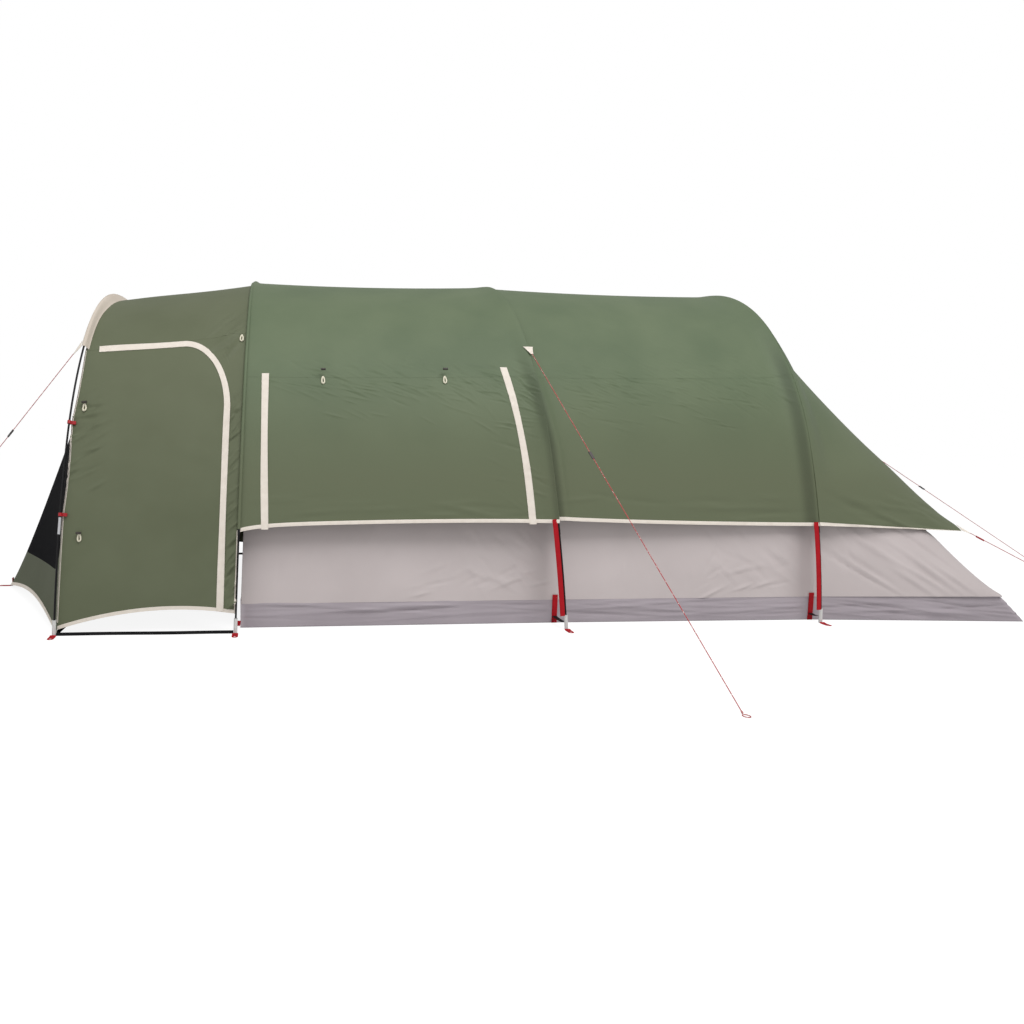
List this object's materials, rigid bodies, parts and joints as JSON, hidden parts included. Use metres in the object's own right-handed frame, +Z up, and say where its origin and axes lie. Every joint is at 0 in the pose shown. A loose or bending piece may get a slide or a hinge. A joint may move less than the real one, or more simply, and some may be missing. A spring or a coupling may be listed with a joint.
{
  "type": "tunnel tent",
  "caption": "Family tunnel tent on bent hoop poles: pegged porch with side doors, roll-up window covers, an inner cabin with a floor tub, and guy lines with sliders.",
  "frame": {"origin": "on the ground, in the middle of the tent's length and width, guys not counted", "axes": "+Z up, +X from the porch to the sleeping end, -Y the left side"},
  "size_m": [7.7401, 3.6315, 1.9016],
  "materials": {
    "green_cloth": "coated woven polyester, satin",
    "beige_trim": "coated woven tape, matt",
    "inner_cloth": "thin woven polyester, satin",
    "floor_cloth": "coated woven floor cloth, satin",
    "black_mesh": "fine net, matt",
    "red_webbing": "woven webbing, matt",
    "black_webbing": "woven webbing, matt",
    "guy_cord": "braided cord, matt",
    "pole": "glass fibre rod, satin",
    "ferrule": "satin tube",
    "pale_plastic": "moulded, satin",
    "red_plastic": "moulded, satin",
    "slider_plastic": "moulded, satin"
  },
  "bodies": {
    "tent": {"bow_mesh": "black_mesh", "bow_skirt": "green_cloth", "bow_top": "green_cloth", "floor_tabs": "red_webbing", "fly_hem_tape": "beige_trim", "front_bay_left": "green_cloth", "front_bay_right": "green_cloth", "front_bay_roof": "green_cloth", "front_foot_straps": "red_webbing", "front_pole": "pole", "front_sleeve": "green_cloth", "guy_end_loops": "guy_cord", "guy_tabs": "beige_trim", "inner_front_wall": "inner_cloth", "inner_rear": "inner_cloth", "inner_roof": "inner_cloth", "inner_wall_left": "inner_cloth", "inner_wall_right": "inner_cloth", "middle_guy": "guy_cord", "middle_pole": "pole", "middle_sleeve": "green_cloth", "peg_loops": "red_webbing", "pole_ferrules": "ferrule", "pole_tips": "pale_plastic", "porch_clips": "red_plastic", "porch_cross_strap": "black_webbing", "porch_guy": "guy_cord", "porch_hem_tape": "beige_trim", "porch_pole": "pole", "porch_roof": "green_cloth", "porch_side_left": "green_cloth", "porch_side_right": "green_cloth", "porch_side_straps": "black_webbing", "porch_visor": "beige_trim", "rear_bay_left": "green_cloth", "rear_bay_right": "green_cloth", "rear_bay_roof": "green_cloth", "rear_centre_guy": "guy_cord", "rear_corner_guy": "guy_cord", "rear_fly": "green_cloth", "rear_pole": "pole", "rear_sleeve": "green_cloth", "side_foot_straps": "black_webbing", "tension_straps": "red_webbing", "tie_toggles": "pale_plastic", "tub_floor": "floor_cloth"},
    "left_door": {"door_left": "green_cloth", "door_trim_left": "beige_trim"},
    "right_door": {"door_right": "green_cloth", "door_trim_right": "beige_trim"},
    "left_cover": {"window_cover_left": "green_cloth", "cover_trim_left": "beige_trim"},
    "right_cover": {"window_cover_right": "green_cloth", "cover_trim_right": "beige_trim"},
    "cabin_door": {"inner_door": "inner_cloth"},
    "porch_guy_slider": {"porch_guy_slider": "slider_plastic"},
    "middle_guy_slider": {"middle_guy_slider": "slider_plastic"},
    "rear_corner_guy_slider": {"rear_corner_guy_slider": "slider_plastic"},
    "rear_centre_guy_slider": {"rear_centre_guy_slider": "slider_plastic"}
  },
  "joints": [
    {"name": "left_door_hinge", "type": "hinge", "parent": "tent", "child": "left_door", "pos_m": [-2.089, -1.29462, 0.12147], "axis": [0, -0.2756, -0.9613], "range_deg": [0, 100]},
    {"name": "right_door_hinge", "type": "hinge", "parent": "tent", "child": "right_door", "pos_m": [-2.089, 1.29462, 0.12147], "axis": [0, -0.2756, 0.9613], "range_deg": [0, 100]},
    {"name": "left_cover_hinge", "type": "hinge", "parent": "tent", "child": "left_cover", "pos_m": [-0.58669, -0.94598, 1.28732], "axis": [-0.9997, -0.0098, -0.0244], "range_deg": [0, 95]},
    {"name": "right_cover_hinge", "type": "hinge", "parent": "tent", "child": "right_cover", "pos_m": [-0.58669, 0.94598, 1.28732], "axis": [0.9997, -0.0098, 0.0244], "range_deg": [0, 95]},
    {"name": "cabin_door_hinge", "type": "hinge", "parent": "tent", "child": "cabin_door", "pos_m": [-1.32556, -0.42, 0.83404], "axis": [0.032, 0, 0.9995], "range_deg": [0, 100]},
    {"name": "porch_guy_slider_slide", "type": "slide", "parent": "tent", "child": "porch_guy_slider", "axis": [-0.6012, -0.0759, -0.7955], "range_m": [-0.4, 0.6]},
    {"name": "middle_guy_slider_slide", "type": "slide", "parent": "tent", "child": "middle_guy_slider", "axis": [0.1442, -0.7109, -0.6883], "range_m": [-0.5, 0.7]},
    {"name": "rear_corner_guy_slider_slide", "type": "slide", "parent": "tent", "child": "rear_corner_guy_slider", "axis": [0.8578, -0.2145, -0.4671], "range_m": [-0.02, 0.5]},
    {"name": "rear_centre_guy_slider_slide", "type": "slide", "parent": "tent", "child": "rear_centre_guy_slider", "axis": [0.8664, 0, -0.4994], "range_m": [-0.8, 0.8]}
  ]
}
